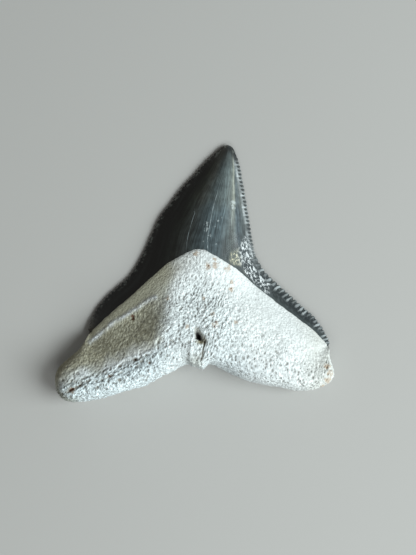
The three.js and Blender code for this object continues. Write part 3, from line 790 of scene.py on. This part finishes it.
# Each attribute's name, its number on the lingual face and its number on the labial one.
for name, on_lingual, on_labial in [
    ("enamel", lingual_enamel, labial_enamel),
    ("edge", to_crown, to_crown),
    ("serration", numbers, numbers),
    ("distal_shoulder", distal_shoulder, distal_shoulder),
    ("crown_share", crown_share, crown_share),
    ("cavity", cavity, labial_pits),
    ("pores", pores, labial_fine * on_labial_root),
    ("olive", shaded_side, labial_olive),
    ("hairline", beside(HAIRLINE), nothing + FAR_AWAY),
    ("short_hairline", beside(SHORT_HAIRLINE), nothing + FAR_AWAY),
    ("grime_and_painted_shade", grime_and_painted_shade, nothing),
    ("terrace", terrace, nothing),
    ("dulled", dulled, nothing),
    ("lightened", np.minimum(lightened, 1.2), nothing),
    ("pricked", pricked * (1 - 0.6 * calm), nothing),
    ("warmed", smoothstep(x, 8.5, 11.5), nothing),
    ("etched", etched, nothing),
    ("flakes", flakes, nothing),
    ("browned", spot((-9.75, -5.0), 0.4, 0.8), nothing),
    ("stain", stain, nothing),
    ("iron", iron, nothing),
    ("worn_crest_and_highlight", worn_crest_and_highlight, nothing),
    ("olive_floor", spot((0.62, -6.28), 0.45, 0.24), nothing),
    ("rough_bone", rough_bone, nothing),
    ("smooth_bone", np.clip(0.75 * neck_band + 0.5 * below_crown, 0, 1), nothing),
]:
    layer = tooth_mesh.attributes.new(name, "FLOAT", "POINT")
    layer.data.foreach_set("value", np.append(on_lingual, on_labial[inner]).astype("f4"))

fossil = bpy.data.materials.new("fossil_bone_and_enamel")
fossil.use_nodes = True
nodes, links = fossil.node_tree.nodes, fossil.node_tree.links
skin = nodes["Principled BSDF"]


def add(kind, inputs, **settings):
    """A node with its settings and inputs, each a value or another node's output."""
    made = nodes.new("ShaderNode" + kind)
    for name, value in settings.items():
        setattr(made, name, value)
    for name, value in inputs.items():
        if isinstance(value, bpy.types.NodeSocket):
            links.new(value, made.inputs[name])
        else:
            made.inputs[name].default_value = value
    return made


def attribute(name):
    """One of the mesh's attributes, as a number."""
    return add("Attribute", {}, attribute_name=name).outputs["Fac"]


def maths(operation, a, b=0.0):
    """One sum on two numbers."""
    return add("Math", {0: a, 1: b}, operation=operation).outputs[0]


def plus(a, b):
    """Two numbers added."""
    return maths("ADD", a, b)


def minus(a, b):
    """The second number taken from the first."""
    return maths("SUBTRACT", a, b)


def times(first, *others):
    """Several numbers multiplied together."""
    for other in others:
        first = maths("MULTIPLY", first, other)
    return first


def apart(a, b):
    """How far apart two numbers are."""
    return maths("ABSOLUTE", minus(a, b))


def between(value, low, high, start=0.0, end=1.0):
    """start below low, end above high, and an S-shaped blend between them."""
    ends = {"Value": value, "From Min": low, "From Max": high, "To Min": start, "To Max": end}
    return add("MapRange", ends, interpolation_type="SMOOTHSTEP").outputs["Result"]


def mixed(share, under, over):
    """One number mixed into another by a share."""
    return add("Mix", {"Factor": share, "A": under, "B": over}, data_type="FLOAT").outputs[0]


def blend(share, under, over):
    """One colour laid over another by a share."""
    made = add("Mix", {"Factor": share}, data_type="RGBA")
    sockets = [s for s in made.inputs if s.type == "RGBA"]
    for socket, colour in zip(sockets, [under, over]):
        if isinstance(colour, bpy.types.NodeSocket):
            links.new(colour, socket)
        else:
            socket.default_value = (*colour, 1)
    return next(s for s in made.outputs if s.type == "RGBA")


def tinted(colour, tint):
    """A colour multiplied by another, part by part."""
    return add("VectorMath", {0: colour, 1: tint}, operation="MULTIPLY").outputs[0]


def scaled(colour, factor):
    """A colour made brighter or darker by a factor."""
    return add("VectorMath", {0: colour, "Scale": factor}, operation="SCALE").outputs[0]


def noise(places, scale, detail):
    """Cloudy noise from 0 to 1: scale clouds to a unit of its places, and detail finer layers."""
    return add("TexNoise", {"Vector": places, "Scale": scale, "Detail": detail}).outputs[0]


# Places in millimetres.
place = tinted(add("TexCoord", {}).outputs["Object"], (1 / MILLIMETRE,) * 3)
height = add("SeparateXYZ", {0: place}).outputs["Y"]


def streaked(degrees, length):
    """Places in millimetres squeezed along a direction in plan, for streaky noise."""
    turn = {"Vector": place, "Rotation": (0, 0, np.radians(degrees)), "Scale": (length, 1, 1)}
    return add("Mapping", turn, vector_type="TEXTURE").outputs[0]


# Bone: pale and mottled, and olive on the side turned from the light: partly mud, partly painted shade.
SHADED_BONE, PALE_BONE = (0.778, 0.834, 0.841), (0.84, 0.895, 0.902)
DARK_MUD_AND_SHADE, PALE_MUD_AND_SHADE = (0.235, 0.215, 0.118), (0.635, 0.63, 0.475)
smooth_bone = attribute("smooth_bone")
bone = blend(between(noise(place, 0.9, 4), 0.35, 0.65), SHADED_BONE, PALE_BONE)
flecked = between(noise(streaked(80, 3.0), 6.6, 4), 0.37, 0.65)
mud_and_painted_shade = blend(mixed(smooth_bone, flecked, 0.5), DARK_MUD_AND_SHADE, PALE_MUD_AND_SHADE)
for share, colour in [
    # Olive mud and painted shade on the shaded side.
    (times(attribute("olive"), 0.88), mud_and_painted_shade),
    (times(attribute("terrace"), 0.3), (0.38, 0.45, 0.48)),
    (times(attribute("lightened"), 0.75), (0.92, 0.985, 0.99)),
    (attribute("grime_and_painted_shade"), (0.31, 0.29, 0.21)),
    (times(attribute("dulled"), 0.45), (0.54, 0.61, 0.65)),
    (attribute("worn_crest_and_highlight"), (0.74, 0.79, 0.82)),
]:
    bone = blend(share, bone, colour)

# Its rough parts are cooler and grainier, and its distal end is warmer.
rough = attribute("rough_bone")
bone = blend(times(rough, 0.6), bone, tinted(bone, (0.90, 0.99, 1.04)))
bone = blend(attribute("warmed"), bone, tinted(bone, (0.955, 0.94, 0.915)))
speckle = between(noise(streaked(76, 1.9), 6.0, 4), 0.34, 0.66, 0.72, 1.15)
speckle = mixed(smooth_bone, speckle, 1.0)
coarser = times(minus(noise(streaked(40, 1.6), 3.4, 4), 0.5), rough, 0.75)
finer = times(minus(noise(streaked(56, 2.0), 9.0, 3), 0.5), rough, 2.5)
bone = scaled(bone, plus(plus(speckle, coarser), finer))

# Every pit is darker and browner, with dirt and painted shade, the deepest holes nearly black with painted
# shade, and iron has stained some of them.
pricks = add("TexVoronoi", {"Vector": streaked(72, 1.5), "Scale": 4.4}).outputs["Distance"]
pricks = times(between(pricks, 0.34, 0.14), between(noise(place, 2.2, 2), 0.36, 0.6))
pricks = times(pricks, attribute("pricked"))
pore = attribute("pores")
hole = attribute("cavity")
stained = attribute("stain")
rust = plus(stained, times(noise(place, 3.4, 3), 2.2))
rust = times(between(rust, 1.45, 2.1), between(stained, 0.1, 0.5, 0.0, 0.6))
for share, colour in [
    (times(pricks, 0.55), (0.30, 0.31, 0.30)),
    (between(pore, 0.1, 0.7, 0.0, 0.62), (0.27, 0.27, 0.25)),
    (between(hole, 0.04, 0.2, 0.0, 0.65), (0.33, 0.31, 0.26)),
    # The deepest holes, such as the foramen, nearly black: painted shade.
    (between(hole, 0.22, 0.7), (0.03, 0.026, 0.024)),
    (attribute("olive_floor"), (0.30, 0.27, 0.17)),
    (rust, (0.44, 0.30, 0.18)),
    (between(attribute("iron"), 0.35, 0.75, 0.0, 0.9), (0.12, 0.042, 0.018)),
]:
    bone = blend(share, bone, colour)

# Enamel: blue-grey in the middle; near black towards the mesial edge, partly painted shade on the flank
# turned from the light; pale along the ridge, a painted highlight.
# The share is 0 on the mesial edge and 1 on the distal one, and the streaks flow up the crown.
RIDGE_HIGHLIGHT_SHARE, FOOT_SHARE = 0.785, 0.765
STREAKS_ACROSS, STREAKS_ALONG = 24.0, 0.22
share = attribute("crown_share")
flow = {"X": times(share, STREAKS_ACROSS), "Y": times(height, STREAKS_ALONG)}
flow = add("CombineXYZ", flow).outputs[0]
streak = noise(flow, 1.0, 4)
wandering = plus(share, times(minus(streak, 0.5), 0.05))
toned = add("ValToRGB", {"Fac": wandering})
ramp = toned.color_ramp
# The near-black stops towards the mesial edge are partly painted shade; the pale stop at the ridge is a
# painted highlight.
ramp.elements[0].color = (0.001, 0.001, 0.001, 1)
ramp.elements[1].color = (0.045, 0.055, 0.058, 1)
for stop, colour in [
    (0.15, (0.001, 0.0015, 0.001)), (0.25, (0.010, 0.013, 0.010)), (0.35, (0.043, 0.051, 0.049)),
    (0.45, (0.056, 0.077, 0.084)), (0.55, (0.106, 0.147, 0.164)), (0.65, (0.138, 0.189, 0.210)),
    (0.74, (0.137, 0.179, 0.188)), (RIDGE_HIGHLIGHT_SHARE, (0.165, 0.202, 0.194)), (0.815, (0.122, 0.162, 0.176)),
    (0.845, (0.092, 0.128, 0.152)), (0.89, (0.102, 0.130, 0.138)), (0.96, (0.091, 0.110, 0.115)),
]:
    ramp.elements.new(stop).color = (*colour, 1)
enamel = blend(between(height, 9.3, 11.9, 0.0, 0.85), toned.outputs["Color"], (0.022, 0.023, 0.021))
brownish = times(noise(place, 0.45, 3), between(height, 3.0, 8.0, 0.4, 1.3))
enamel = blend(between(brownish, 0.35, 0.7), enamel, tinted(enamel, (1.06, 0.98, 0.90)))
# A painted highlight along the ridge, stronger up the crown.
ridge_highlight = times(between(apart(wandering, RIDGE_HIGHLIGHT_SHARE), 0.045, 0.0), between(height, 2.5, 8.0, 0.0, 0.6))
enamel = blend(ridge_highlight, enamel, (0.40, 0.43, 0.38))
foot = times(between(apart(share, FOOT_SHARE), 0.1, 0.0), between(height, 5.6, 3.0, 0.0, 0.7))
enamel = blend(foot, enamel, (0.072, 0.094, 0.093))
enamel = scaled(enamel, between(height, 2.0, 8.5, 0.66, 1.04))
fine_streaks = between(noise(flow, 3.0, 4), 0.32, 0.68, 0.57, 1.40)
mottled = between(noise(place, 1.9, 5), 0.34, 0.66, 0.8, 1.18)
enamel = scaled(enamel, times(fine_streaks, mottled))

# The distal shoulder is darker and blotched, and paler by the root. Some streaks are pale, and
# the mesial shoulder's end is browned.
on_shoulder = attribute("distal_shoulder")
by_root = between(attribute("enamel"), 0.45, 0.05, 0.0, 0.4)
blotch = between(noise(streaked(110, 1.8), 5.0, 3), 0.5, 0.66, 0.0, 0.45)
for laid, colour in [
    (on_shoulder, (0.019, 0.027, 0.030)),
    (times(on_shoulder, by_root), (0.080, 0.106, 0.106)),
    (times(on_shoulder, blotch), (0.11, 0.13, 0.14)),
    (times(between(streak, 0.42, 0.75), between(share, 0.2, 0.7, 0.04, 0.24)), (0.11, 0.13, 0.13)),
    (times(attribute("browned"), 0.8), (0.034, 0.027, 0.014)),
]:
    enamel = blend(laid, enamel, colour)

# Each serration has a painted glint by chance: a bead on the cusp, a rib of any length on the shoulder.
edge = attribute("edge")
serration = attribute("serration")
slanted = maths("FRACT", plus(serration, times(edge, 0.5)))
across = apart(times(slanted, 2.0), 1.0)
chance = add("TexWhiteNoise", {"W": maths("FLOOR", serration)}, noise_dimensions="1D").outputs["Value"]
oval = add("CombineXYZ", {
    "X": maths("DIVIDE", across, 0.7),
    "Y": maths("DIVIDE", minus(edge, 0.18), 0.14),
})
oval = add("VectorMath", {0: oval.outputs[0]}, operation="LENGTH").outputs["Value"]
bead_glint = times(between(oval, 0.75, 1.1), between(edge, 0.0, 0.2, 0.6, 1.0))
bead_glint = times(bead_glint, between(edge, 0.58, 0.36), between(height, 11.0, 9.5))
uneven = noise(place, 2.6, 2)
ragged_across = plus(across, times(minus(uneven, 0.5), 1.6))
rib_length = plus(times(chance, 0.45), 0.4)
rib_glint = between(maths("DIVIDE", edge, rib_length), 1.1, 0.5)
rib_glint = times(between(ragged_across, 0.58, 0.16), rib_glint)
glint = times(mixed(on_shoulder, bead_glint, rib_glint), plus(times(chance, 0.7), 0.3))
glint = times(glint, between(noise(place, 1.3, 3), 0.3, 0.6, 0.35, 1.0))
distal = between(share, 0.4, 0.6)
dark_strip = times(between(edge, 0.54, 0.26), distal, between(height, 3.5, 7.5, 0.15, 0.7))
# Pale specks along the cutting edges: painted glints.
speck_glint = times(between(uneven, 0.56, 0.68), between(edge, 0.42, 0.2))
enamel = blend(dark_strip, enamel, (0.022, 0.027, 0.030))
enamel = blend(times(glint, distal), enamel, (0.56, 0.62, 0.64))
enamel = blend(times(speck_glint, 0.22), enamel, (0.30, 0.33, 0.30))

# The etched patch is dull grey with chalky curls and chips, partly painted glints off its pitted surface;
# flakes and fine cracks are pale too.
on_patch = attribute("etched")
curls = apart(noise(place, 2.3, 2), 0.5)
chips = between(noise(streaked(110, 1.7), 4.2, 2), 0.54, 0.60)
flecks_and_glints = maths("MAXIMUM", between(curls, 0.030, 0.012, 0.0, 0.65), chips)
flecks_and_glints = times(flecks_and_glints, between(on_patch, 0.3, 0.7))
chalk_and_glint = blend(between(share, 0.87, 0.81), (0.80, 0.86, 0.88), (0.70, 0.68, 0.50))
creamy = times(between(share, 0.87, 0.81, 0.0, 0.5), between(on_patch, 0.2, 0.6))
flaked = times(between(attribute("flakes"), 0.25, 0.7), between(noise(streaked(84, 1.8), 4.5, 2), 0.45, 0.55))
enamel = blend(between(on_patch, 0.2, 0.7, 0.0, 0.6), enamel, (0.060, 0.076, 0.084))
enamel = blend(creamy, enamel, (0.24, 0.26, 0.22))
# Pale curls and chips: chalky etching and painted glints.
enamel = blend(flecks_and_glints, enamel, chalk_and_glint)
enamel = blend(times(flaked, 0.55), enamel, (0.60, 0.68, 0.70))
broken = between(noise(place, 1.6, 3), 0.36, 0.60, 0.25, 1.0)
for name, width, shown in [("hairline", 0.05, 0.85), ("short_hairline", 0.04, 0.45)]:
    crack_line = between(apart(attribute(name), 0.0), width, width * 0.4, 0.0, shown)
    enamel = blend(times(crack_line, broken), enamel, (0.42, 0.50, 0.53))

# The enamel is glossy under a clear coat, duller where it is etched; the bone is matt.
BONE_ROUGHNESS, COAT_ROUGHNESS = 0.86, 0.14
BUMP_HEIGHT = 0.00007
is_enamel = between(attribute("enamel"), -0.02, 0.02)
links.new(blend(is_enamel, bone, enamel), skin.inputs["Base Color"])
dullness = plus(times(streak, 0.14), 0.30)
dullness = plus(dullness, between(on_patch, 0.2, 0.7, 0.0, 0.25))
dullness = plus(dullness, plus(times(on_shoulder, 0.1), times(foot, 0.45)))
links.new(mixed(is_enamel, BONE_ROUGHNESS, dullness), skin.inputs["Roughness"])
coated = times(minus(0.3, times(on_shoulder, 0.28)), minus(1.0, foot))
links.new(times(is_enamel, coated), skin.inputs["Coat Weight"])
skin.inputs["Coat Roughness"].default_value = COAT_ROUGHNESS

bone_grain = times(noise(place, 5.5, 3), plus(times(rough, 1.8), 1.35))
bone_grain = minus(bone_grain, plus(pore, pricks))
enamel_grain = plus(times(noise(flow, 3.0, 2), 0.12), times(on_patch, noise(place, 5.0, 3)))
grain = mixed(is_enamel, bone_grain, enamel_grain)
bump = add("Bump", {"Strength": 1.0, "Distance": BUMP_HEIGHT, "Height": grain})
links.new(bump.outputs[0], skin.inputs["Normal"])
tooth_mesh.materials.append(fossil)

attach(tooth, "root")
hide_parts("tooth")

# ------------------------------------------------
# The studio: a plain pale floor, the camera straight above, a large soft box on the distal side,
# a smaller one beyond the root and a faint light from all round.
# ------------------------------------------------
from mathutils import Vector

FLOOR_REACH = 0.6
# The picture is taller than it is wide, so the sensor's 36 mm lie along its height.
LENS, SENSOR = 80, 36
# How much the camera sees from top to bottom, and how far from the tooth's middle it looks.
SHOWN_HEIGHT = 0.0526
AIM_ALONG, AIM_UP = 0.00127, -0.00047

tooth_middle = (np.array(cad_box[0]) + np.array(cad_box[1])) / 2

floor_mesh = bpy.data.meshes.new("floor")
floor_corners = [(FLOOR_REACH * a, FLOOR_REACH * b, 0) for a, b in [(-1, -1), (1, -1), (1, 1), (-1, 1)]]
floor_mesh.from_pydata(floor_corners, [], [(0, 1, 2, 3)])
floor = bpy.data.objects.new("floor", floor_mesh)
scene.collection.objects.link(floor)
paper = bpy.data.materials.new("pale_floor")
paper.use_nodes = True
paper_finish = paper.node_tree.nodes["Principled BSDF"].inputs
paper_finish["Base Color"].default_value = (0.45, 0.45, 0.44, 1)
paper_finish["Roughness"].default_value = 0.9
floor_mesh.materials.append(paper)

camera_data = bpy.data.cameras.new("camera")
camera_data.lens = LENS
camera_data.sensor_width = SENSOR
camera_data.clip_start = 0.001
camera = bpy.data.objects.new("camera", camera_data)
scene.collection.objects.link(camera)
scene.camera = camera
camera.location = (tooth_middle[0] + AIM_ALONG, tooth_middle[1] + AIM_UP, SHOWN_HEIGHT / SENSOR * LENS)


def area_light(name, place, size, watts, colour):
    """A rectangular soft box at a place, facing the tooth."""
    data = bpy.data.lights.new(name, "AREA")
    data.shape = "RECTANGLE"
    data.size, data.size_y = size
    data.energy = watts
    data.color = colour
    light = bpy.data.objects.new(name, data)
    light.location = place
    light.rotation_euler = (Vector(tooth_middle) - Vector(place)).to_track_quat("-Z", "Y").to_euler()
    scene.collection.objects.link(light)


area_light("key", (0.19, -0.05, 0.18), (0.20, 0.20), 0.90, (0.93, 1.0, 1.0))
area_light("front", (0.02, -0.20, 0.17), (0.14, 0.10), 0.16, (0.95, 1.0, 1.0))
world = bpy.data.worlds.new("studio")
world.use_nodes = True
backdrop = world.node_tree.nodes["Background"].inputs
backdrop["Color"].default_value = (1.0, 0.98, 0.92, 1)
backdrop["Strength"].default_value = 0.18
scene.world = world
scene.view_settings.view_transform = "Standard"
